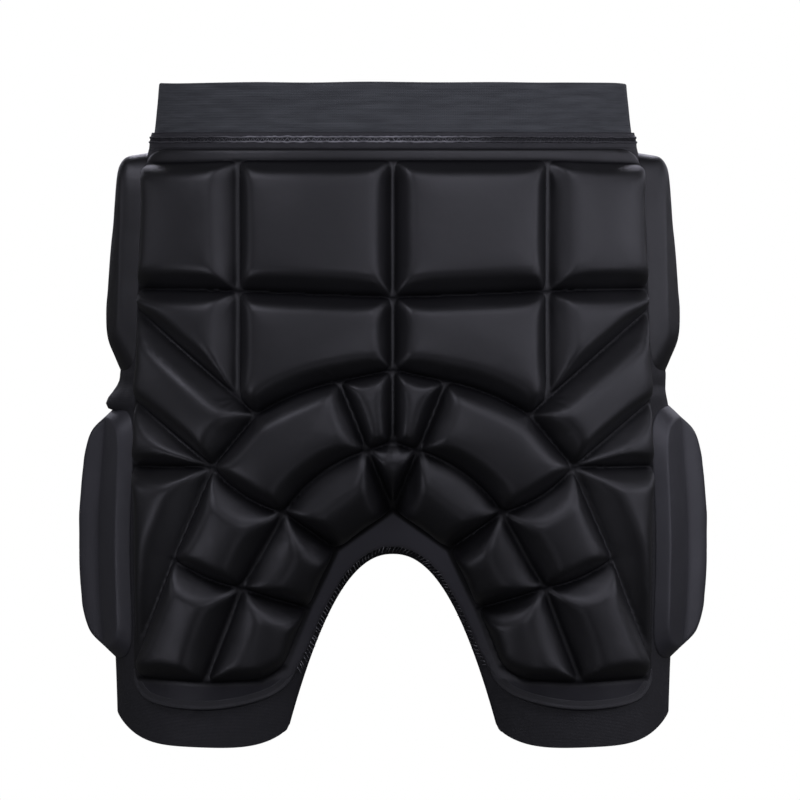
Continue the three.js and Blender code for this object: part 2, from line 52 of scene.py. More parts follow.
# Sizes. Apart from the hem's corners, the roll of cloth and the steps, the solids have the same.
LENGTH = 392
WAISTBAND_HEIGHT = 33.6
WAISTBAND_WALL = 2.4
CLOTH_WALL = 1.6
CUFF_TOP = -362
SEAM_GAP = 0.3
LAYER_GAP = 0.5
SHELL_TOP = -WAISTBAND_HEIGHT - SEAM_GAP
CROTCH = -277
LEG_GAP_HALF = 66
LEG_GAP_POWER = 0.45
HEM_RISE_INNER = 8
HEM_RISE_OUTER = 16
HEM_CORNER = 5
ROLL_LEVEL = -188
ROLL_HEIGHT = 6.5
ROLL_WIDTH = 34
ROLL_FOOT = -195.5
ROLL_MOVE = (-8, 0, -3)
PAD_WEB = 4
PAD_TOP = -39.6
PAD_CORNER_X = 136
PAD_CLEAR = 4.5
PAD_ARCH_FOOT = -336
TAPE_TOP = -29.6
TAPE_BOTTOM = -38.8
TAPE_WALL = 1.4
BINDING_WIDTH = 7
BINDING_INSET = 0.8
BINDING_START = (58, -346)
BINDING_STEP = 1.5
OVERLOCK_STEP = 0.35

# Sizes of the cells as they look: a slope up from the groove with a rounded knee at its upper end,
# longer round the seat than on the upper back, and a soft shoulder that runs on to the middle.
CELL_SLOPES = np.array([(-240, 11.5, 10), (-150, 10, 9), (-47, 9.5, 8.5)])  # z, width, rise
CELL_KNEE = 0.8
CELL_CORNER = 1.8
SHOULDER_RISE = 5
SHOULDER_REACH = 9
GROOVE_FLOOR_LEVEL = 0.25
GROOVE_FLOOR_UPRIGHT = 1
FULL_CELL = 15  # how far the middle of a cell is from its grooves if its slopes are full
WELD_HALF = 1.7
CORNER_PULL = 0.45  # how much steeper the slopes are where the cover is pulled tight at a junction
CORNER_REACH = 13
CREASE_REACH = 6
CREASE_HEIGHT = 0.4
PAINTED_LIGHT_REACH = 75  # how far from the crotch the painted light reaches that tints the pad's flat border paler
FOOT_LEVEL = -349  # where the margin below the lowest cells begins

# The body's form, a row for each level.
BODY_COLUMNS = ("z", "half_width", "back", "front", "back_cleft", "front_cleft", "spread")
BODY_ROWS = np.array([
    (0, 140, 84, 80, 0, 0, 36),
    (-34, 143.5, 89, 84, 0, 0, 36),
    (-60, 150, 96, 90, 0, 0, 36),
    (-110, 156, 108, 97, 0, 0, 36),
    (-170, 161.5, 120, 100, 2, 0, 38),
    (-220, 165.5, 124, 99, 11, 0, 44),
    (-265, 168, 122, 96, 46, 16, 52),
    (-305, 167.5, 117, 94, 80, 45, 58),
    (-345, 165, 112, 93, 96, 62, 60),
    (-393, 163.5, 108, 92, 105, 72, 62),
], float)
BODY = dict(zip(BODY_COLUMNS, BODY_ROWS.T))

# How much wider the gap between the legs is from back to front, as (y, flare).
LEG_GAP_FLARE = np.array([(-160, 0), (16, 0), (42, 4), (62, 14), (140, 60)], float)

# Where the back pad's grooves meet on the right half, as (x, z) from straight behind.
JUNCTIONS = {
    "top_centre": (0, -47.5),
    "top_mid": (91.5, -47.5),
    "top_side": (149.5, -49.5),
    "row_centre": (0, -127),
    "row_mid": (90.5, -123.5),
    "row_side": (151.5, -122.5),
    "arch_crown": (0, -168),
    "arch_wedge": (31.5, -175),
    "arch_foot": (80, -195),
    "column_foot": (90.5, -185.5),
    "slant_high": (152, -134),
    "slant_low": (153.5, -187.5),
    "flank_side": (154.8, -227),
    "flank": (105.5, -225.5),
    "seat": (65.5, -250),
    "wedge_foot": (15.5, -213.5),
    "tail_crown": (0, -208.5),
    "tail_tip": (0, -247),
    "inner_top": (36.5, -271.5),
    "inner_mid": (54.5, -308),
    "inner_low": (68.5, -343),
    "inner_foot": (81, -351),
    "thigh_mid": (91, -295),
    "thigh_side": (129.5, -279.5),
    "foot_mid": (111.5, -352.5),
    "foot_side": (150.5, -352),
    "foot_high": (153.6, -343),
}

# Grooves that bend, by how far their middle lies to the left of the straight way.
BENT_GROOVES = {
    ("arch_foot", "arch_wedge"): -2.5,
    ("seat", "wedge_foot"): -5.5,
    ("flank", "seat"): 4,
    ("thigh_side", "thigh_mid"): 2.5,
}

# The raised cells on the right half, by the junctions round each.
CELLS = {
    "upper_inner": ("top_centre", "row_centre", "row_mid", "top_mid"),
    "upper_outer": ("top_mid", "row_mid", "row_side", "top_side"),
    "lower_inner": ("row_centre", "arch_crown", "arch_wedge", "arch_foot", "column_foot", "row_mid"),
    "lower_outer": ("row_mid", "column_foot", "slant_high", "row_side"),
    "slant": ("column_foot", "arch_foot", "flank", "slant_low", "slant_high"),
    "flank": ("flank", "flank_side", "slant_low"),
    "arch": ("arch_wedge", "wedge_foot", "seat", "flank", "arch_foot"),
    "tail": ("arch_crown", "tail_crown", "wedge_foot", "arch_wedge"),
    "seat_inner": ("wedge_foot", "tail_tip", "inner_top", "seat"),
    "seat_mid": ("flank", "seat", "thigh_mid", "thigh_side"),
    "thigh_inner": ("seat", "inner_top", "inner_mid", "thigh_mid"),
    "foot_inner": ("thigh_mid", "inner_mid", "inner_low", "inner_foot", "foot_mid"),
    "foot_outer": ("thigh_side", "thigh_mid", "foot_mid", "foot_side", "foot_high"),
    "thigh_outer": ("flank", "thigh_side", "foot_high", "flank_side"),
}

# The back pad's edge on the right half, round the foot on the thigh and up the side.
PAD_FOOT = ((66, -355), (83, -364.5), (112, -370), (143, -367.5), (154.5, -357), (155.5, -342))
PAD_SIDE = ((155.5, -342), (156, -228), (154, -178), (153, -130), (151, -62))

# The pads on the sides, by the levels and the angles round the body that each covers. The rear edge
# runs from one angle at its top to another at its bottom. Along it lies a flange, a share of the
# rise high, which climbs to the crown over a step of some degrees. The head is what the upper end
# rises more, as a share.
SIDE_PADS = {
    "hip_pad": dict(
        top=-42, bottom=-172, rear_top=80, rear_bottom=68.6, front=128, rise=13, slope=0.3, lift=36,
        flange=0.7, step=20, crown=92, head=0.2,
    ),
    "thigh_pad": dict(
        top=-193, bottom=-343, rear_top=66.8, rear_bottom=66.8, front=124, rise=19, slope=0.34, lift=0,
        flange=0.42, step=7, crown=91, head=0,
    ),
}
SIDE_PAD_ROUNDNESS = 0.55
REAR_ROUNDNESS = 0.28
# A side pad's rise from its edge inwards, as (share of its slope, share of its rise).
SIDE_PAD_RINGS = np.array([(0, 0.08), (0.22, 0.35), (0.6, 0.78), (1.1, 0.96), (1.7, 1)])


# Curves through tables

def hermite(knots, values, at):
    """A smooth curve through the values, where the knots rise."""
    at = np.clip(at, knots[0], knots[-1])
    last = len(knots) - 1
    row = np.clip(np.searchsorted(knots, at, side="right") - 1, 0, last - 1)
    before = np.maximum(np.arange(last + 1) - 1, 0)
    after = np.minimum(np.arange(last + 1) + 1, last)
    slope = (values[after] - values[before]) / (knots[after] - knots[before])
    span = knots[row + 1] - knots[row]
    s = (at - knots[row]) / span
    blend = s * s * (3 - 2 * s)
    leave = s * (1 - s) ** 2 * span * slope[row]
    arrive = s * s * (s - 1) * span * slope[row + 1]
    return values[row] + (values[row + 1] - values[row]) * blend + leave + arrive


def catmull(points, steps):
    """Points on a curve through these points, without the last."""
    points = np.array(points, float)
    ends = np.vstack([points[:1], points, points[-1:]])
    s = np.arange(steps)[:, None] / steps
    curve = []
    for i in range(len(points) - 1):
        p0, p1, p2, p3 = ends[i:i + 4]
        v0 = (p2 - p0) / 2
        v1 = (p3 - p1) / 2
        cubic = (2 * p1 - 2 * p2 + v0 + v1) * s**3
        square = (-3 * p1 + 3 * p2 - 2 * v0 - v1) * s**2
        curve.append(cubic + square + v0 * s + p1)
    return np.vstack(curve)


def spaced(path, step):
    """The path again, with its points evenly spaced, its ends kept."""
    lengths = np.concatenate([[0], np.cumsum(np.linalg.norm(np.diff(path, axis=0), axis=1))])
    count = max(1, round(lengths[-1] / step))
    at = np.linspace(0, lengths[-1], count + 1)
    return np.column_stack([np.interp(at, lengths, column) for column in path.T])


def smooth(s):
    s = np.clip(s, 0, 1)
    return s * s * (3 - 2 * s)


# The body form

def body_at(column, z):
    """A column of the body's table at level z."""
    return hermite(BODY["z"][::-1], BODY[column][::-1], z)


def body_point(angle, z):
    """Points on the cloth. The angle runs from the centre back round the right side."""
    angle, z = np.broadcast_arrays(np.asarray(angle, float), np.asarray(z, float))
    x = body_at("half_width", z) * np.sin(angle)
    fade = np.exp(-((x / body_at("spread", z)) ** 2))
    facing = np.cos(angle)
    behind = -body_at("back", z) * facing + body_at("back_cleft", z) * fade
    ahead = -body_at("front", z) * facing - body_at("front_cleft", z) * fade
    return np.stack([x, np.where(facing > 0, behind, ahead), z], axis=-1)


def body_normal(angle, z):
    turn = 0.01
    drop = 1
    along = body_point(angle + turn, z) - body_point(angle - turn, z)
    up = body_point(angle, z + drop) - body_point(angle, z - drop)
    normal = np.cross(along, up)
    return normal / np.linalg.norm(normal, axis=-1, keepdims=True)


def body_offset(angle, z, distance):
    """Points on the cloth moved outwards, square to it."""
    return body_point(angle, z) + body_normal(angle, z) * np.asarray(distance)[..., None]


def behind_angle(x, z):
    """The angle at which the cloth shows at x and z from straight behind."""
    sine = x / (body_at("half_width", z) + LAYER_GAP + PAD_WEB)
    return np.arcsin(np.clip(sine, -1, 1))


def behind_offset(x, z, distance):
    return body_offset(behind_angle(x, z), z, distance)


def leg_gap_half(z):
    share = np.maximum(0, CROTCH - z) / (LENGTH + CROTCH)
    return LEG_GAP_HALF * share**LEG_GAP_POWER


def gap_edge(z, out):
    """The gap's right edge from behind, moved out square to it, as x and z."""
    step = 0.5
    slope = leg_gap_half(z - step) - leg_gap_half(z + step)
    length = np.hypot(2 * step, slope)
    return leg_gap_half(z) + out * 2 * step / length, z + out * slope / length


def grown_gap(z, flare):
    """Half the gap between the legs at level z, where it is grown by a flare."""
    x, level = gap_edge(CROTCH - np.linspace(0, 1, 400) ** 2 * (LENGTH + CROTCH + 60), flare)
    x[0] = 0
    return np.interp(-z, -level, x)


def hem_rise(angle):
    """How far the hem is drawn up at an angle. It hangs lowest in the middle of a leg."""
    outer = body_at("half_width", -LENGTH)
    across = (outer * np.abs(np.sin(angle)) - LEG_GAP_HALF) / (outer - LEG_GAP_HALF)
    rise = np.where(across < 0.5, HEM_RISE_INNER, HEM_RISE_OUTER)
    inner = leg_gap_half(-LENGTH + HEM_RISE_INNER + HEM_CORNER)
    corner = np.clip(1 - (outer * np.abs(np.sin(angle)) - inner) / HEM_CORNER, 0, 1)
    rounded = HEM_CORNER * (1 - np.sqrt(1 - corner**2))
    return rise * (2 * np.maximum(0, across) - 1) ** 4 + rounded


# Meshes

def ripple(points, size, seed):
    """Soft random values from about -1 to 1 over points in millimetres."""
    shift = Vector((seed * 17.3, seed * 5.1, seed * 11.7))
    return np.array([noise.noise(Vector(p) / size + shift) for p in points])


def new_piece(name, points, faces, material, uv, girth=None):
    """An object from points in millimetres, smooth shaded, with cloth coordinates in metres.

    With a girth the cloth coordinates run round a ring of quadrangles and meet again at its seam.
    """
    mesh = bpy.data.meshes.new(name)
    mesh.from_pydata((np.asarray(points) * MM).tolist(), [], faces)
    mesh.polygons.foreach_set("use_smooth", [True] * len(mesh.polygons))
    corners = np.zeros(len(mesh.loops), np.int32)
    mesh.loops.foreach_get("vertex_index", corners)
    cloth = np.asarray(uv)[corners]
    if girth:
        around = cloth[:, 0].reshape(-1, 4)
        behind = around.max(axis=1, keepdims=True) - around > girth / 2
        cloth[:, 0] = (around + girth * behind).ravel()
    mesh.uv_layers.new(name="cloth").data.foreach_set("uv", (cloth * MM).ravel())
    mesh.materials.append(material)
    piece = bpy.data.objects.new(name, mesh)
    bpy.context.scene.collection.objects.link(piece)
    return piece


def grid_faces(rows, columns, closed=False):
    """Quadrangles over a grid of points in rows. With closed the last column joins the first."""
    faces = []
    for r in range(rows - 1):
        for c in range(columns if closed else columns - 1):
            d = (c + 1) % columns
            faces.append((r * columns + c, (r + 1) * columns + c, (r + 1) * columns + d, r * columns + d))
    return faces


def tubes(paths, radius, sides=5):
    """Points and faces of round threads along paths, with their ends closed."""
    points = []
    faces = []
    for path in paths:
        path = np.asarray(path)
        along = np.gradient(path, axis=0)
        along /= np.linalg.norm(along, axis=1, keepdims=True)
        aside = np.cross(along, np.array([0.31, 0.87, 0.38]))
        aside /= np.linalg.norm(aside, axis=1, keepdims=True)
        up = np.cross(aside, along)
        start = len(points)
        for p, a, u in zip(path, aside, up):
            for k in range(sides):
                turn = 2 * math.pi * k / sides
                points.append(p + radius * (math.cos(turn) * a + math.sin(turn) * u))
        rings = len(path)
        for r in range(rings - 1):
            for k in range(sides):
                m = (k + 1) % sides
                low = start + r * sides
                faces.append((low + k, low + sides + k, low + sides + m, low + m))
        faces.append(tuple(start + k for k in range(sides)))
        faces.append(tuple(start + (rings - 1) * sides + k for k in reversed(range(sides))))
    return np.array(points), faces


# Materials

class Shading:
    """A material's nodes, with short ways to add and join them."""

    def __init__(self, name, colour, roughness, specular):
        self.material = bpy.data.materials.new(name)
        self.material.use_nodes = True
        self.tree = self.material.node_tree
        self.shader = self.tree.nodes["Principled BSDF"]
        self.shader.inputs["Base Color"].default_value = (*colour, 1)
        self.shader.inputs["Roughness"].default_value = roughness
        self.shader.inputs["Specular IOR Level"].default_value = specular
        cloth = self.tree.nodes.new("ShaderNodeUVMap")
        cloth.uv_map = "cloth"
        self.cloth = cloth.outputs["UV"]
        self.u, self.v = self.split(self.cloth)
        self.place = self.tree.nodes.new("ShaderNodeTexCoord").outputs["Object"]

    def join(self, value, socket):
        if isinstance(value, bpy.types.NodeSocket):
            self.tree.links.new(value, socket)
        else:
            socket.default_value = value

    def split(self, vector):
        node = self.tree.nodes.new("ShaderNodeSeparateXYZ")
        self.join(vector, node.inputs[0])
        return node.outputs["X"], node.outputs["Y"]

    def math(self, operation, *values):
        node = self.tree.nodes.new("ShaderNodeMath")
        node.operation = operation
        for value, socket in zip(values, node.inputs):
            self.join(value, socket)
        return node.outputs[0]

    def noise(self, size, detail=3, vector=None):
        node = self.tree.nodes.new("ShaderNodeTexNoise")
        self.join(self.place if vector is None else vector, node.inputs["Vector"])
        node.inputs["Scale"].default_value = 1 / (size * MM)
        node.inputs["Detail"].default_value = detail
        return node.outputs["Fac"]

    def between(self, value, low, high, start=0.3, end=0.7):
        """The value from start to end, spread from low to high."""
        node = self.tree.nodes.new("ShaderNodeMapRange")
        self.join(value, node.inputs["Value"])
        for name, number in (("From Min", start), ("From Max", end), ("To Min", low), ("To Max", high)):
            node.inputs[name].default_value = number
        return node.outputs["Result"]

    def tint(self, value, dark, light):
        """Colours from dark to light, by the value."""
        node = self.tree.nodes.new("ShaderNodeMix")
        node.data_type = "RGBA"
        self.join(value, node.inputs["Factor"])
        for colour, socket in ((dark, node.inputs["A"]), (light, node.inputs["B"])):
            self.join(colour if isinstance(colour, bpy.types.NodeSocket) else (*colour, 1), socket)
        self.join(node.outputs["Result"], self.shader.inputs["Base Color"])
        return node.outputs["Result"]

    def value(self, name):
        """A value that the mesh holds at its points, 0 where it holds none."""
        node = self.tree.nodes.new("ShaderNodeAttribute")
        node.attribute_name = name
        return node.outputs["Fac"]

    def bump(self, height, depth, below=None):
        """Relief this many millimetres deep, over another."""
        node = self.tree.nodes.new("ShaderNodeBump")
        node.inputs["Distance"].default_value = depth * MM
        self.join(height, node.inputs["Height"])
        if below is not None:
            self.join(below, node.inputs["Normal"])
        self.join(node.outputs["Normal"], self.shader.inputs["Normal"])
        return node.outputs["Normal"]

    def wave(self, value, pitch):
        """From 0 to 1 and back over each pitch in millimetres."""
        turns = self.math("MULTIPLY", value, 2 * math.pi / (pitch * MM))
        return self.math("MULTIPLY_ADD", self.math("SINE", turns), 0.5, 0.5)

    def knit(self, wale, course):
        """The relief of knitted loops, in columns of this width and rows of this height."""
        across = self.math("PINGPONG", self.math("DIVIDE", self.u, wale * MM), 0.5)
        rise = self.math("MULTIPLY_ADD", across, course * MM, self.v)
        legs = self.math("SINE", self.math("MULTIPLY", across, 2 * math.pi))
        return self.math("MULTIPLY", self.wave(rise, course), legs)


def pad_cover_material(name, dark, light):
    """A smooth satin cover, matt where it is pressed along the grooves, with painted light on its lower
    flat border: paler where it faces down into shade.
    """
    look = Shading(name, dark, 0.5, 0.5)
    cover = look.tint(look.between(look.noise(60), 0, 1), dark, light)
    # Painted light: the lower flat border is tinted paler, standing in for light from below on a surface
    # that faces down.
    look.tint(look.value("painted_light_margin"), cover, (0.075, 0.074, 0.084))
    look.join(look.between(look.noise(35), 0.43, 0.48), look.shader.inputs["Roughness"])
    look.join(look.between(look.value("weld"), 0.5, 0.06, 0, 1), look.shader.inputs["Specular IOR Level"])
    soft = look.bump(look.noise(17, 2), 0.35)
    look.bump(look.knit(0.8, 0.6), 0.015, soft)
    return look.material


def jersey_material():
    look = Shading("jersey", (0.006, 0.006, 0.007), 0.62, 0.4)
    look.tint(look.between(look.noise(40), 0, 1), (0.005, 0.005, 0.006), (0.0075, 0.0075, 0.009))
    look.join(look.between(look.noise(9), 0.56, 0.68), look.shader.inputs["Roughness"])
    soft = look.bump(look.noise(16, 3), 0.25)
    look.bump(look.knit(1.1, 0.85), 0.09, soft)
    return look.material


def elastic_material():
    look = Shading("elastic", (0.03, 0.031, 0.034), 0.75, 0.35)
    streak = look.tree.nodes.new("ShaderNodeVectorMath")
    streak.operation = "MULTIPLY"
    look.join(look.place, streak.inputs[0])
    streak.inputs[1].default_value = (1, 1, 9)
    streaks = look.noise(26, 5, streak.outputs[0])
    look.tint(look.between(streaks, 0, 1), (0.034, 0.0367, 0.039), (0.06, 0.0645, 0.0672))
    soft = look.bump(streaks, 0.35)
    ribs = look.math("MULTIPLY", look.wave(look.v, 1.5), look.wave(look.u, 0.9))
    look.bump(ribs, 0.14, soft)
    return look.material


def tape_material(name, dark, light):
    look = Shading(name, dark, 0.6, 0.45)
    look.tint(look.between(look.noise(20), 0, 1), dark, light)
    slanted = look.math("ADD", look.u, look.v)
    look.bump(look.wave(slanted, 0.9), 0.06)
    return look.material


def thread_material():
    """Thread that is paler here and there, with painted light that makes it paler on the left, where the
    edge faces the light.
    """
    look = Shading("thread", (0.03, 0.03, 0.034), 0.6, 0.4)
    # Painted light: the thread on the left is tinted paler, as if lit from the right.
    left = look.between(look.split(look.place)[0], 1, 0.45, -0.03, 0.03)
    pale_share = look.math("MULTIPLY", look.between(look.noise(5), 0, 1, 0.35, 0.65), left)
    look.tint(pale_share, (0.01, 0.01, 0.0115), (0.42, 0.42, 0.43))
    look.bump(look.noise(0.5), 0.05)
    return look.material


def cover_stitch_material():
    """Pale thread across the middle of the back, darker towards the sides."""
    look = Shading("cover_stitch", (0.06, 0.06, 0.065), 0.6, 0.4)
    aside = look.math("ABSOLUTE", look.math("ADD", look.split(look.place)[0], 0.024))
    middle = look.between(aside, 1, 0.12, 0.05, 0.085)
    pale_share = look.math("MULTIPLY", middle, look.between(look.noise(7), 0.3, 1))
    look.tint(pale_share, (0.012, 0.012, 0.014), (0.27, 0.27, 0.28))
    look.bump(look.noise(0.5), 0.05)
    return look.material


PAD_COVER = pad_cover_material("pad_cover", (0.0026, 0.0026, 0.0031), (0.004, 0.0039, 0.0047))
# Painted light: a paler copy of the pad cover, so the thigh pads read more brightly lit than the same cover
# elsewhere.
LIT_THIGH_COVER = pad_cover_material("thigh_cover_painted_light", (0.021, 0.021, 0.024), (0.029, 0.029, 0.033))
JERSEY = jersey_material()
ELASTIC = elastic_material()
TAPE = tape_material("tape", (0.010, 0.010, 0.012), (0.017, 0.017, 0.0195))
BINDING = tape_material("binding", (0.005, 0.005, 0.006), (0.008, 0.008, 0.009))
THREAD = thread_material()
COVER_STITCH = cover_stitch_material()


# Waistband and its tape

def ring_piece(name, profile, material, columns, wander=None):
    """A ring round the body from a closed profile of (distance, z), with its seam at the front."""
    angles = math.pi + np.linspace(0, 2 * math.pi, columns, endpoint=False)
    profile = np.array(profile)
    rows = len(profile)
    z = np.repeat(profile[:, 1], columns)
    distance = np.repeat(profile[:, 0], columns)
    around = np.tile(angles, rows)
    points = body_offset(around, z, distance)
    if wander is not None:
        points = wander(points, around, z)
    girth = np.linalg.norm(np.diff(body_point(angles, TAPE_TOP), axis=0), axis=1).sum()
    down = np.concatenate([[0], np.cumsum(np.linalg.norm(np.diff(profile, axis=0), axis=1))])
    uv = np.column_stack([(around - math.pi) / (2 * math.pi) * girth, np.repeat(-down, columns)])
    faces = grid_faces(rows, columns, True)
    last = (rows - 1) * columns
    for c in range(columns):
        d = (c + 1) % columns
        faces.append((last + c, c, d, last + d))
    return new_piece(name, points, faces, material, uv, girth)


def rounded_profile(outer, wall, top, bottom, rows, relief=None):
    """The section of a flat band with rounded edges, and a relief on its outer face."""
    radius = wall / 2
    middle = outer - radius
    turns = np.linspace(0, math.pi, 7)[1:-1]
    sides = np.linspace(top - radius, bottom + radius, rows)
    profile = [(outer + (relief(z) if relief else 0), z) for z in sides]
    profile += [(middle + radius * math.cos(t), bottom + radius - radius * math.sin(t)) for t in turns]
    profile += [(outer - wall, z) for z in sides[::-1]]
    profile += [(middle - radius * math.cos(t), top - radius + radius * math.sin(t)) for t in turns]
    return profile


def waistband_wander(points, around, z):
    """The gentle waves of worn elastic, the more the nearer the top edge."""
    loose = smooth((z + WAISTBAND_HEIGHT) / WAISTBAND_HEIGHT)
    out = body_normal(around, z)
    wave = ripple(points * (1, 1, 0.5), 34, 1) * 1.1 + ripple(points, 12, 2) * 0.25
    points = points + out * (wave * (0.25 + 0.75 * loose))[:, None]
    points[:, 2] += ripple(points * (1, 1, 0), 45, 3) * 0.7 * loose
    return points


waistband = ring_piece(
    "waistband_elastic",
    rounded_profile(0, WAISTBAND_WALL, 0, -WAISTBAND_HEIGHT, 22),
    ELASTIC,
    260,
    waistband_wander,
)

TAPE_OUT = LAYER_GAP + TAPE_WALL
TAPE_MIDDLE = (TAPE_TOP + TAPE_BOTTOM) / 2


def tape_relief(z):
    """The tape's outer face lies in two rounded folds, with the needle line between them."""
    return 0.5 * abs(math.sin((z - TAPE_MIDDLE) / (TAPE_TOP - TAPE_BOTTOM) * 2 * math.pi)) - 0.5


tape = ring_piece(
    "waist_seam_cover",
    rounded_profile(TAPE_OUT, TAPE_WALL, TAPE_TOP, TAPE_BOTTOM, 22, tape_relief),
    TAPE,
    260,
)


def cover_stitch_piece():
    """The cover stitch round the tape: two rows of short stitches, with a loose thread between them."""
    turns = 270
    arch = np.array([(-0.5, -0.35), (-0.36, 0.1), (0, 0.2), (0.36, 0.1), (0.5, -0.35)])  # along, out
    pitch = 2 * math.pi / turns
    paths = []
    for level in (1.45, -1.45):
        for angle in np.arange(turns) * pitch:
            angles = angle + arch[:, 0] * pitch * 1.05
            row = np.full(len(angles), TAPE_MIDDLE + level)
            path = body_offset(angles, row, TAPE_OUT + arch[:, 1])
            path[:, 2] += ripple(path, 2.3, 11) * 0.45
            paths.append(path)
    levels = np.tile((1.1, -1.1), turns)
    angles = np.arange(len(levels)) * pitch / 2
    loose = body_offset(angles, TAPE_MIDDLE + levels, np.full(len(levels), TAPE_OUT - 0.1))
    loose[:, 2] += ripple(loose, 2.3, 12) * 0.7
    points, faces = tubes(paths, 0.6)
    loose_points, loose_faces = tubes([loose], 0.28)
    faces += [tuple(len(points) + i for i in f) for f in loose_faces]
    points = np.vstack([points, loose_points])
    return new_piece("waist_cover_stitch", points, faces, COVER_STITCH, points[:, [0, 2]])


cover_stitch = cover_stitch_piece()


# Cloth of the shorts

def cloth_folds(points, angle, z):
    """How far the cloth stands out in folds, in millimetres."""
    side = np.abs(np.angle(np.exp(1j * angle)))
    gathered = np.exp(-np.maximum(0, SHELL_TOP - z) / 16)
    ahead = smooth((side - 2.1) / 0.5)
    gathers = np.sin(angle * 74 + 3 * ripple(points * (1, 1, 0.2), 60, 4)) * 0.7 * gathered * ahead
    flank = smooth((side - 1.0) / 0.2) * (1 - smooth((side - 1.9) / 0.5))
    between = np.exp(-(((z + 182) / 9) ** 2)) * flank
    waist = between * ripple(points * (0.5, 0.5, 3), 26, 5) * 2.2
    loose = ripple(points * (1, 1, 1.6), 42, 6) * 0.9 * ahead
    return gathers + waist + loose


def leg_level(crown, r):
    """The level of a leg's row r at its inner edge, from the crown of the gap to the hem."""
    return crown + (-LENGTH - crown) * r**2 + (HEM_RISE_INNER + HEM_CORNER) * r**4


def front_edge(r):
    """Where row r of a leg meets the gap at the front, as its angle and level."""
    y = 60.0
    for _ in range(60):
        flare = np.interp(y, *LEG_GAP_FLARE.T)
        z = leg_level(CROTCH + flare, r)
        x = grown_gap(z, flare)
        angle = math.pi - math.asin(x / body_at("half_width", z))
        y = 0.5 * y + 0.5 * body_point(angle, z)[1]
    return angle, z


def gap_wall(legs, shares, depth):
    """The wall between the legs, a row for each row of a leg, from back to front."""
    share = np.linspace(0, 1, depth + 1)
    wall = []
    for row, r in zip(legs, shares):
        back, front = row[0], row[-1]
        y = back[1] + (front[1] - back[1]) * share
        flare = np.interp(y, *LEG_GAP_FLARE.T)
        z = leg_level(CROTCH + flare, r)
        z += (front[2] - z[-1]) * share
        x = np.array([grown_gap(b, a) for a, b in zip(flare, z)])
        line = np.column_stack([x, y, z])
        line[0] = back
        line[-1] = front
        wall.append(line)
    return np.array(wall)


def shorts_grid():
    """The cloth's outer face from the waist seam to the hems, as points, faces and coordinates."""
    columns = 110
    trunk = np.linspace(0, 1, 100)
    leg = np.linspace(0, 1, 46)
    even = np.linspace(0, 1, columns + 1)
    across = even - 0.1 * np.sin(2 * math.pi * even)
    turn_front = smooth((across - 0.45) / 0.55)
    crown_front = front_edge(0)[1]
    angles = []
    levels = []
    for q in trunk[:-1]:
        back = SHELL_TOP + (CROTCH - SHELL_TOP) * q
        front = SHELL_TOP + (crown_front - SHELL_TOP) * q
        angles.append(across * math.pi)
        levels.append(back + (front - back) * turn_front)
    for r in leg:
        back = leg_level(CROTCH, r)
        end, front = front_edge(r)
        start = math.asin(leg_gap_half(back) / body_at("half_width", back))
        angle = start + (end - start) * across
        hem = (hem_rise(angle) - HEM_RISE_INNER - HEM_CORNER) * r**4
        angles.append(angle)
        levels.append(back + (front - back) * turn_front + hem)
    rows = len(angles)
    angle = np.array(angles).ravel()
    level = np.array(levels).ravel()
    outer = body_point(angle, level)
    outer += body_normal(angle, level) * cloth_folds(outer, angle, level)[:, None]
    faces = [tuple(reversed(f)) for f in grid_faces(rows, columns + 1)]
    uv = np.column_stack([body_at("half_width", level) * 0.85 * angle, level])

    depth = 44
    legs = outer.reshape(rows, columns + 1, 3)[len(trunk) - 1:]
    wall = gap_wall(legs, leg, depth).reshape(-1, 3)
    start = len(outer)
    faces += [tuple(start + i for i in f) for f in grid_faces(len(leg), depth + 1)]
    wall_uv = np.column_stack([wall[:, 1] + LENGTH, wall[:, 2]])
    return np.vstack([outer, wall]), faces, np.vstack([uv, wall_uv])


def left_roll(points):
    """How points of the left half move where the cloth rolls out above the thigh pad."""
    x, y, z = points.T
    roll = np.exp(-(((z - ROLL_LEVEL) / ROLL_HEIGHT) ** 2) - ((y + 5) / ROLL_WIDTH) ** 2) * (x < -100)
    clear = smooth((z - ROLL_FOOT) / 3.5)
    return (roll * clear)[:, None] * ROLL_MOVE


def cloth_mesh():
    """Both halves of the cloth's outer face in one mesh, its normals pointing out."""
    points, faces, uv = shorts_grid()
    mirror = points * (-1, 1, 1)
    mirror = mirror + left_roll(mirror)
    count = len(points)
    turned = [tuple(count + i for i in reversed(f)) for f in faces]
    uv = np.vstack([uv, uv * (-1, 1)])
    piece = new_piece("cloth", np.vstack([points, mirror]), faces + turned, JERSEY, uv)
    mesh = bmesh.new()
    mesh.from_mesh(piece.data)
    bmesh.ops.remove_doubles(mesh, verts=mesh.verts, dist=0.05 * MM)
    bpy.data.objects.remove(piece)
    return mesh


def cut_cloth(source, name, levels, side=0):
    """The part of the cloth between two levels, on one side of the middle, with its wall."""
    mesh = source.copy()
    for level, up in zip(levels, (True, False)):
        if level is None:
            continue
        everything = mesh.verts[:] + mesh.edges[:] + mesh.faces[:]
        bmesh.ops.bisect_plane(
            mesh,
            geom=everything,
            plane_co=(0, 0, level * MM),
            plane_no=(0, 0, 1),
            clear_outer=up,
            clear_inner=not up,
        )
    if side:
        off = [f for f in mesh.faces if f.calc_center_median().x * side < 0]
        bmesh.ops.delete(mesh, geom=off, context="FACES")
    for edge in mesh.edges:
        edge.smooth = not edge.is_boundary
    data = bpy.data.meshes.new(name)
    mesh.to_mesh(data)
    mesh.free()
    data.materials.append(JERSEY)
    piece = bpy.data.objects.new(name, data)
    bpy.context.scene.collection.objects.link(piece)
    wall = piece.modifiers.new("wall", "SOLIDIFY")
    wall.thickness = CLOTH_WALL * MM
    wall.offset = -1
    return piece


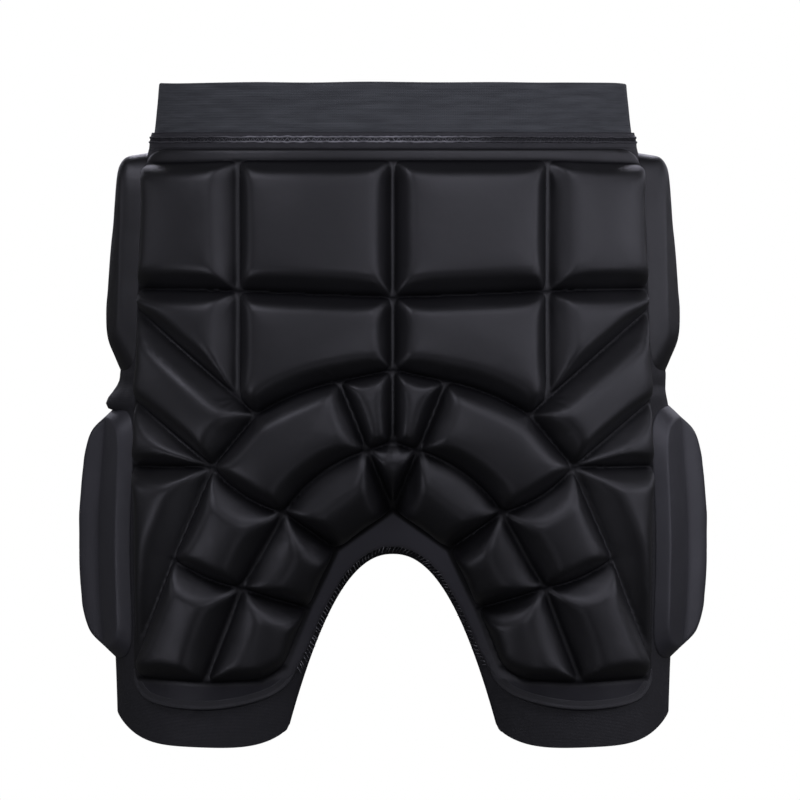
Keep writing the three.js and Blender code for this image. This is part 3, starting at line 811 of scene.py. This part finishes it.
cloth = cloth_mesh()
shell = cut_cloth(cloth, "shorts_cloth", (None, CUFF_TOP))
cuffs = {}
for side, sign in SIDES.items():
    cuffs[side] = cut_cloth(cloth, f"leg_cuff_cloth_{side}", (CUFF_TOP, None), sign)
cloth.free()


# The back pad

def groove(start, end):
    """The way along the groove from one junction to the next."""
    a, b = np.array(JUNCTIONS[start], float), np.array(JUNCTIONS[end], float)
    bulge = BENT_GROOVES.get((start, end), 0) - BENT_GROOVES.get((end, start), 0)
    way = b - a
    left = np.array([-way[1], way[0]]) / np.linalg.norm(way)
    s = np.linspace(0, 1, 25)[:, None]
    return a + way * s + left * 4 * s * (1 - s) * bulge


def mirror_path(path):
    return path[::-1] * (-1, 1)


def cell_sides():
    """The sides of every cell, each a path, anticlockwise from behind."""
    right = [[groove(a, b) for a, b in zip(names, names[1:] + names[:1])] for names in CELLS.values()]
    left = [[mirror_path(side) for side in cell[::-1]] for cell in right]
    tip = [groove("tail_tip", "wedge_foot"), groove("wedge_foot", "tail_crown")]
    return right + left + [tip + [mirror_path(side) for side in tip[::-1]]]


def pad_outline(step):
    """The pad's edge from behind, anticlockwise from the crotch, evenly spaced."""
    arch_z = CROTCH + (PAD_ARCH_FOOT - CROTCH) * np.linspace(0, 1, 60) ** 2
    arch = np.column_stack(gap_edge(arch_z, PAD_CLEAR))
    arch[0, 0] = 0
    foot = catmull([arch[-1], *PAD_FOOT], 12)
    side = catmull(PAD_SIDE, 12)
    shoulder = np.array(PAD_SIDE[-1], float)
    corner = np.array([shoulder[0], PAD_TOP])
    top = np.array([PAD_CORNER_X, PAD_TOP], float)
    s = np.linspace(0, 1, 16)[:, None]
    bend = shoulder * (1 - s) ** 2 + 2 * corner * s * (1 - s) + top * s * s
    half = np.vstack([arch[:-1], foot, side, bend, [(0, PAD_TOP)]])
    half = spaced(half, step)
    return np.vstack([half, mirror_path(half)[1:-1]])


def distance_to(points, path, closed=False):
    """How far points in the plane are from a path."""
    a = path
    b = np.roll(path, -1, axis=0)
    if not closed:
        a, b = path[:-1], path[1:]
    least = np.full(len(points), np.inf)
    for p, q in zip(a, b):
        way = q - p
        s = np.clip((points - p) @ way / max(way @ way, 1e-9), 0, 1)
        gap = np.hypot(*(points - p - s[:, None] * way).T)
        least = np.minimum(least, gap)
    return least


def inside(points, outline):
    """Which points in the plane lie inside an outline."""
    x, y = points.T
    within = np.zeros(len(points), bool)
    for (x0, y0), (x1, y1) in zip(outline, np.roll(outline, -1, axis=0)):
        if y0 == y1:
            continue
        crosses = (y0 > y) != (y1 > y)
        within ^= crosses & (x < x0 + (y - y0) * (x1 - x0) / (y1 - y0))
    return within


def soft_least(values, softness):
    """The least of several distances, rounded where two are alike."""
    return -softness * np.log(np.sum(np.exp(-np.array(values) / softness), axis=0))


def uprightness(side):
    """From 0 for a level groove to 1 for an upright one."""
    way = np.abs(side[-1] - side[0])
    return (way[1] / np.hypot(*way)) ** 4


def groove_floor(side):
    """Half the floor of a groove, which is widest where the groove runs upright."""
    return GROOVE_FLOOR_LEVEL + (GROOVE_FLOOR_UPRIGHT - GROOVE_FLOOR_LEVEL) * uprightness(side)


def groove_welds(points, cells):
    """How much the cover is pressed matt along the grooves, from 0 to 1. Upright grooves are not."""
    weld = np.zeros(len(points))
    for side in (side for sides in cells for side in sides):
        near = np.flatnonzero(np.all((points > side.min(0) - 6) & (points < side.max(0) + 6), axis=1))
        pressed = np.exp(-((distance_to(points[near], side) / WELD_HALF) ** 2))
        weld[near] = np.maximum(weld[near], pressed * (1 - uprightness(side)))
    return weld


def runs_on(side, following):
    """Whether two sides of a cell meet nearly straight."""
    leave = side[-1] - side[-2]
    start = following[1] - following[0]
    return leave @ start > 0.9 * np.linalg.norm(leave) * np.linalg.norm(start)


def joined(sides):
    """A cell's sides, those that run on into each other taken as one."""
    whole = [sides[0]]
    for side in sides[1:]:
        if runs_on(whole[-1], side):
            whole[-1] = np.vstack([whole[-1], side[1:]])
        else:
            whole.append(side)
    if runs_on(whole[-1], whole[0]):
        whole[0] = np.vstack([whole.pop(), whole[0][1:]])
    return whole


def corner_pull(points, side):
    """How far points are from a groove's floor, scaled up near the groove's ends."""
    ends = np.minimum(*(np.hypot(*(points - end).T) for end in (side[0], side[-1])))
    pull = 1 + CORNER_PULL * np.exp(-((ends / CORNER_REACH) ** 2))
    return (distance_to(points, side) - groove_floor(side)) * pull


def cell_heights(points, cells):
    """How far the cells stand above the grooves at points in the plane."""
    height = np.zeros(len(points))
    for sides in cells:
        outline = np.vstack([side[:-1] for side in sides])
        low, high = outline.min(0), outline.max(0)
        near = np.flatnonzero(np.all((points > low) & (points < high), axis=1))
        within = near[inside(points[near], outline)]
        if not len(within):
            continue
        gaps = [corner_pull(points[within], side) for side in joined(sides)]
        width, rise = (np.interp(points[within, 1], CELL_SLOPES[:, 0], v) for v in CELL_SLOPES.T[1:])
        depth = soft_least(gaps, CELL_CORNER)
        size = min(1, depth.max() / FULL_CELL)
        slope = rise * size - CELL_KNEE * np.log1p(np.exp((rise * size - depth * rise / width) / CELL_KNEE))
        shoulder = 1 - np.exp(-np.maximum(0, soft_least(gaps, 2.5)) / SHOULDER_REACH)
        height[within] = np.maximum(0, slope + SHOULDER_RISE * shoulder)
    return height


def star_creases(points):
    """Small creases that run out from each junction of the grooves, in millimetres."""
    crease = np.zeros(len(points))
    for k, (name, (x, z)) in enumerate(JUNCTIONS.items()):
        if name == "thigh_side":
            continue
        for side in (1, -1) if x else (1,):
            way = points - (side * x, z)
            far = np.hypot(*way.T) / CREASE_REACH
            turn = np.arctan2(way[:, 1], way[:, 0])
            crease += np.sin(9 * turn + 1.7 * k + side) * far * np.exp(-(far**2))
    return crease


def lattice(low, high, step):
    """Points in a triangular pattern over a box."""
    rise = step * math.sqrt(3) / 2
    rows = np.arange(low[1], high[1], rise)
    columns = np.arange(low[0], high[0], step)
    x, z = np.meshgrid(columns, rows)
    x = x + (np.arange(len(rows)) % 2)[:, None] * step / 2
    return np.column_stack([x.ravel(), z.ravel()])


def triangulated(points, outline):
    """Triangles over points inside an outline."""
    ring = list(range(len(points), len(points) + len(outline)))
    flat = [Vector(p) for p in np.vstack([points, outline])]
    made = delaunay_2d_cdt(flat, [], [ring], 1, 1e-4)
    return np.array([tuple(p) for p in made[0]]), [tuple(f) for f in made[2]]


def nearest(points, others):
    """Which of the others is nearest to each point in the plane, and how far it is."""
    tree = KDTree(len(others))
    for i, p in enumerate(others):
        tree.insert((p[0], p[1], 0), i)
    tree.balance()
    found = [tree.find((p[0], p[1], 0)) for p in points]
    return [i for _, i, _ in found], np.array([far for _, _, far in found])


def pad_web(flat, outline):
    """The thickness of the pad's web, which is sewn down along its edge."""
    edge = np.minimum(1, distance_to(flat, outline, True) / 3.2)
    return PAD_WEB * (0.4 + 0.6 * np.sqrt(1 - (1 - edge) ** 2))


def back_pad_piece():
    """One moulded sheet: cells raised from a web, with a plain underside."""
    outline = pad_outline(1.5)
    cells = cell_sides()
    lines = np.unique(np.round(np.vstack([spaced(s, 1.2) for cell in cells for s in cell]), 2), axis=0)
    low, high = outline.min(0), outline.max(0)
    fine = lattice(low, high, 1.05)
    near = nearest(fine, lines)[1]
    fine = fine[(near > 0.55) & (near < 8)]
    coarse = lattice(low, high, 2.4)
    coarse = coarse[nearest(coarse, lines)[1] >= 8]
    field = np.vstack([fine, coarse])
    field = field[inside(field, outline)]
    field = field[nearest(field, outline)[1] > 0.9]
    flat, faces = triangulated(np.vstack([field, lines]), outline)
    height = cell_heights(flat, cells)
    angle = behind_angle(flat[:, 0], flat[:, 1])
    base = body_point(angle, flat[:, 1])
    uneven = ripple(base, 34, 7) * 0.25 + star_creases(flat) * CREASE_HEIGHT
    rise = LAYER_GAP + pad_web(flat, outline) + height + uneven * np.minimum(1, height / 4)
    top = body_offset(angle, flat[:, 1], rise)

    under = lattice(low, high, 9)
    under = under[inside(under, outline)]
    under = under[nearest(under, outline)[1] > 4]
    sole, sole_faces = triangulated(under, outline)
    bottom = behind_offset(sole[:, 0], sole[:, 1], np.full(len(sole), LAYER_GAP))
    count = len(top)
    faces = faces + [tuple(count + i for i in reversed(f)) for f in sole_faces]
    upper = nearest(outline, flat)[0]
    lower = nearest(outline, sole)[0]
    for i in range(len(outline)):
        j = (i + 1) % len(outline)
        faces.append((upper[i], count + lower[i], count + lower[j], upper[j]))
    uv = np.vstack([flat, sole])
    piece = new_piece("back_pad_moulded", np.vstack([top, bottom]), faces, PAD_COVER, uv)
    # Painted light: the flat border is paler near the crotch, and a little along the foot, where the cover
    # faces down into shade.
    crotch = np.exp(-(np.hypot(flat[:, 0], flat[:, 1] - CROTCH) / PAINTED_LIGHT_REACH) ** 2)
    bare = smooth((nearest(flat, lines)[1] - 1.5) / 2) * (height == 0)
    foot = bare * smooth((FOOT_LEVEL - flat[:, 1]) / 4)
    weld = np.maximum(groove_welds(flat, cells), 0.75 * foot)
    painted_light_margin = np.maximum(bare * crotch, 0.2 * foot)
    for name, values in (("weld", weld), ("painted_light_margin", painted_light_margin)):
        values = np.concatenate([values, np.zeros(len(sole))])
        piece.data.attributes.new(name, "FLOAT", "POINT").data.foreach_set("value", values)
    return piece


back_pad = back_pad_piece()


# Edges of the back pad

def inwards_from(path):
    """Unit vectors to the left of a path in the plane."""
    along = np.gradient(path, axis=0)
    along /= np.linalg.norm(along, axis=1, keepdims=True)
    return np.column_stack([-along[:, 1], along[:, 0]])


def right_edge(step):
    """The right half of the pad's edge from behind, from the crotch outwards."""
    outline = pad_outline(step)
    return outline[:len(outline) // 2 + 1]


def overlock_piece():
    """The overlocked edge round the arch: uneven slanted loops from the pad's edge to the cloth's."""
    edge = right_edge(OVERLOCK_STEP)
    arch = edge[: np.argmax(edge[:, 1] < PAD_ARCH_FOOT - 12)]
    whole = spaced(np.vstack([mirror_path(arch)[:-1], arch]), OVERLOCK_STEP)
    inwards = inwards_from(whole)
    reach = np.array([1.4, 0.5, -0.6, -2.4, -3.8])
    height = np.array([0.45, 0.35, 0, -1.2, -1.6]) + LAYER_GAP + PAD_WEB * 0.6
    slant = np.array([6, 4, 3, 1, 0])
    wander = ripple(np.column_stack([whole, np.zeros(len(whole))]), 3, 13)
    paths = []
    for i in range(4, len(whole) - 16, 7):
        at = i + slant + round(3 * wander[i])
        flat = whole[at] + inwards[at] * (reach * (1 + 0.25 * wander[i + 5]))[:, None]
        paths.append(behind_offset(flat[:, 0], flat[:, 1], height))
    points, faces = tubes(paths, 0.3)
    return new_piece("crotch_overlock", points, faces, THREAD, points[:, [0, 2]])


def binding_path():
    edge = right_edge(BINDING_STEP)
    return edge[(edge[:, 0] > BINDING_START[0]) & (edge[:, 1] < BINDING_START[1])]


def binding_piece(side, sign):
    """The folded strip along the pad's lower edge, with a bead along its outer side."""
    edge = binding_path()
    inwards = inwards_from(edge)
    section = np.array([
        (0, -0.8), (0.02, 0.2), (0.07, 0.55), (0.15, 0.65), (0.24, 0.5), (0.32, 0.1), (0.42, -0.05),
        (0.7, -0.15), (1, -0.6),
    ]) * (BINDING_WIDTH, 1)
    along = np.arange(len(edge)) * BINDING_STEP
    ends = 1 - smooth(np.minimum(along, along[-1] - along) / 12)
    base = LAYER_GAP + PAD_WEB + 0.3 - ends
    rows = []
    for reach, lift in section:
        flat = edge + inwards * (BINDING_INSET + reach)
        rows.append(behind_offset(flat[:, 0], flat[:, 1], base + lift))
    points = np.array(rows) * (sign, 1, 1)
    columns = len(edge)
    faces = grid_faces(len(section), columns)
    caps = [tuple(r * columns for r in range(len(section)))]
    caps.append(tuple(r * columns + columns - 1 for r in reversed(range(len(section)))))
    floor = (len(section) - 1) * columns
    under = [(c, c + 1, floor + c + 1, floor + c) for c in range(columns - 1)]
    faces = [tuple(reversed(f)) for f in faces + under] + caps
    if sign < 0:
        faces = [tuple(reversed(f)) for f in faces]
    uv = np.array([(a, reach) for reach, _ in section for a in along])
    return new_piece(f"leg_binding_tape_{side}", points.reshape(-1, 3), faces, BINDING, uv)


overlock = overlock_piece()
bindings = {side: binding_piece(side, sign) for side, sign in SIDES.items()}


# Pads on the sides

def side_pad_piece(name, side, sign, sizes):
    """A crowned pad with rounded corners, on its plain underside. A low flange runs along its rear."""
    top, bottom, front = sizes["top"], sizes["bottom"], sizes["front"]
    rise = sizes["rise"]
    spokes = 200
    turn = np.linspace(0, 2 * math.pi, 4000)
    round_trip = np.column_stack([np.cos(turn), np.sin(turn)])
    bow = np.where(round_trip[:, :1] < 0, REAR_ROUNDNESS, SIDE_PAD_ROUNDNESS)
    rim = spaced(np.sign(round_trip) * np.abs(round_trip) ** bow, 0.002)
    rim = rim[np.round(np.linspace(0, len(rim) - 1, spokes + 1)).astype(int)][:-1]
    under = np.linspace(0.03, 1, 10)
    reaches = np.concatenate([under, [1], 1 - np.linspace(0, 1, 46)[1:-1] ** 1.25])[:, None]
    z = (top + bottom) / 2 + (1 - reaches) * sizes["lift"] + reaches * (top - bottom) / 2 * rim[:, 1]
    rear = np.interp(z, (bottom, top), (sizes["rear_bottom"], sizes["rear_top"]))
    degrees = (rear + front) / 2 + reaches * (front - rear) / 2 * rim[:, 0]
    share = hermite(*SIDE_PAD_RINGS.T, (1 - reaches) / sizes["slope"])
    crown = 1 - np.exp(-((1 - reaches) / 0.55) ** 2)
    flange = sizes["flange"]
    step = flange + (1 - flange) * smooth((degrees - sizes["crown"]) / sizes["step"] + 1)
    height = np.minimum(share, step) * rise + crown * step * 1.2
    height *= 1 + sizes["head"] * smooth((z - top) / 50 + 1)
    height[:len(under)] = 0
    angle = np.radians(degrees)
    points = body_offset(angle, z, LAYER_GAP + height).reshape(-1, 3)
    flat_height = height.ravel()
    uneven = ripple(points, 26, 9) * 0.5 + ripple(points, 11, 10) * 0.12
    out = body_normal(angle.ravel(), z.ravel())
    points = points + out * (uneven * np.minimum(1, flat_height / rise))[:, None]
    rows = len(reaches)
    faces = grid_faces(rows, spokes, True)
    inner = (rows - 1) * spokes
    faces.append(tuple(inner + k for k in reversed(range(spokes))))
    faces.append(tuple(range(spokes)))
    if sign < 0:
        points = points * (-1, 1, 1)
    else:
        faces = [tuple(reversed(f)) for f in faces]
    uv = np.column_stack([angle.ravel() * 160, z.ravel()])
    # The thigh pads take the paler copy of the cover, which is painted light.
    cover = LIT_THIGH_COVER if name == "thigh_pad" else PAD_COVER
    return new_piece(f"{name}_foam_{side}", points, faces, cover, uv)


side_pads = {
    f"{name}_{side}": side_pad_piece(name, side, sign, sizes)
    for name, sizes in SIDE_PADS.items()
    for side, sign in SIDES.items()
}


# Riding and replacing

def stands_for(piece, slot, *nodes):
    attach(piece, "root")
    if nodes:
        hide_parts(*nodes)


stands_for(waistband, "elastic", "waistband")
stands_for(tape, "tape", "waist_seam_tape")
stands_for(cover_stitch, "tape")
stands_for(shell, "jersey", "shorts_shell")
stands_for(back_pad, "pad_cover", "back_pad")
stands_for(overlock, "tape")
for side in SIDES:
    stands_for(cuffs[side], "jersey", f"leg_cuff_{side}")
    stands_for(bindings[side], "tape", f"leg_binding_{side}")
for node, piece in side_pads.items():
    stands_for(piece, "pad_cover", node)


# Light and camera

# Powers of the softboxes in watts, from the one that lights the wearer's front to the dimmest.
FRONT_POWER = 18
KEY_POWER = 11
TOP_POWER = 8
FILL_POWER = 6
SIDE_POWER = 5
LOW_POWER = 4
WEAK_POWER = 3
FAINT_POWER = 2
DIM_POWER = 1.3

# Softboxes, as the turn from straight behind to the right and the height in degrees, and the power.
LIGHTS = {
    "left_far": (-160, 15, FAINT_POWER),
    "left_side": (-95, 12, FAINT_POWER),
    "left_high": (-60, 45, KEY_POWER),
    "left_low": (-60, -15, FILL_POWER),
    "left_front": (-30, 20, FAINT_POWER),
    "front": (0, 5, FILL_POWER),
    "front_high": (10, 47, TOP_POWER),
    "front_below": (0, -40, FAINT_POWER),
    "right_front": (30, 20, WEAK_POWER),
    "right_front_high": (45, 45, SIDE_POWER),
    "right": (60, 20, FILL_POWER),
    "right_low": (50, -20, DIM_POWER),
    "right_side": (95, 15, SIDE_POWER),
    "right_side_low": (78, -8, LOW_POWER),
    "right_high": (90, 45, WEAK_POWER),
    "right_back": (130, 15, DIM_POWER),
    "right_far": (160, 15, FAINT_POWER),
    "wearers_front": (180, 35, FRONT_POWER),
}
LIGHT_COLOUR = (0.855, 0.847, 1)
LIGHT_SIZE = (0.9, 0.6)
LIGHT_DISTANCE = 2.2
ROOM_LIGHT = 0.05


def softbox(name, azimuth, elevation, power):
    turn, lift = math.radians(azimuth), math.radians(elevation)
    way = Vector((math.sin(turn) * math.cos(lift), -math.cos(turn) * math.cos(lift), math.sin(lift)))
    data = bpy.data.lights.new(name, "AREA")
    data.shape = "RECTANGLE"
    data.size, data.size_y = LIGHT_SIZE
    data.energy = power
    data.color = LIGHT_COLOUR
    light = bpy.data.objects.new(name, data)
    light.location = CENTRE + way * LIGHT_DISTANCE
    light.rotation_mode = "QUATERNION"
    light.rotation_quaternion = (-way).to_track_quat("-Z", "Y")
    bpy.context.scene.collection.objects.link(light)


def white_world():
    """White behind the object, and a dim even light from all round."""
    world = bpy.data.worlds.new("studio")
    bpy.context.scene.world = world
    world.use_nodes = True
    tree = world.node_tree
    back = tree.nodes["Background"]
    back.inputs["Color"].default_value = (1, 1, 1, 1)
    dim = tree.nodes.new("ShaderNodeBackground")
    dim.inputs["Strength"].default_value = ROOM_LIGHT
    seen = tree.nodes.new("ShaderNodeLightPath")
    mix = tree.nodes.new("ShaderNodeMixShader")
    tree.links.new(seen.outputs["Is Camera Ray"], mix.inputs[0])
    tree.links.new(dim.outputs[0], mix.inputs[1])
    tree.links.new(back.outputs[0], mix.inputs[2])
    tree.links.new(mix.outputs[0], tree.nodes["World Output"].inputs["Surface"])


CENTRE = Vector((0, 0, -0.1975))
for name, values in LIGHTS.items():
    softbox(name, *values)
white_world()

CAMERA_DISTANCE = 4.0
CAMERA_ELEVATION = math.radians(2)
FRAME_WIDTH = 0.48  # what the photograph's width covers at the object
FRAME_PIXELS = 800
OBJECT_PIXEL = (393, 413)
camera_data = bpy.data.cameras.new("camera")
camera = bpy.data.objects.new("camera", camera_data)
camera_data.lens = camera_data.sensor_width * CAMERA_DISTANCE / FRAME_WIDTH
pixel = FRAME_WIDTH / FRAME_PIXELS
aside = (FRAME_PIXELS / 2 - OBJECT_PIXEL[0]) * pixel
above = (OBJECT_PIXEL[1] - FRAME_PIXELS / 2) * pixel
back = Vector((0, -math.cos(CAMERA_ELEVATION), math.sin(CAMERA_ELEVATION)))
camera.location = CENTRE + back * CAMERA_DISTANCE + Vector((aside, 0, above))
camera.rotation_mode = "QUATERNION"
camera.rotation_quaternion = (-back).to_track_quat("-Z", "Y")
bpy.context.scene.collection.objects.link(camera)
bpy.context.scene.camera = camera
bpy.context.scene.view_settings.view_transform = "Standard"
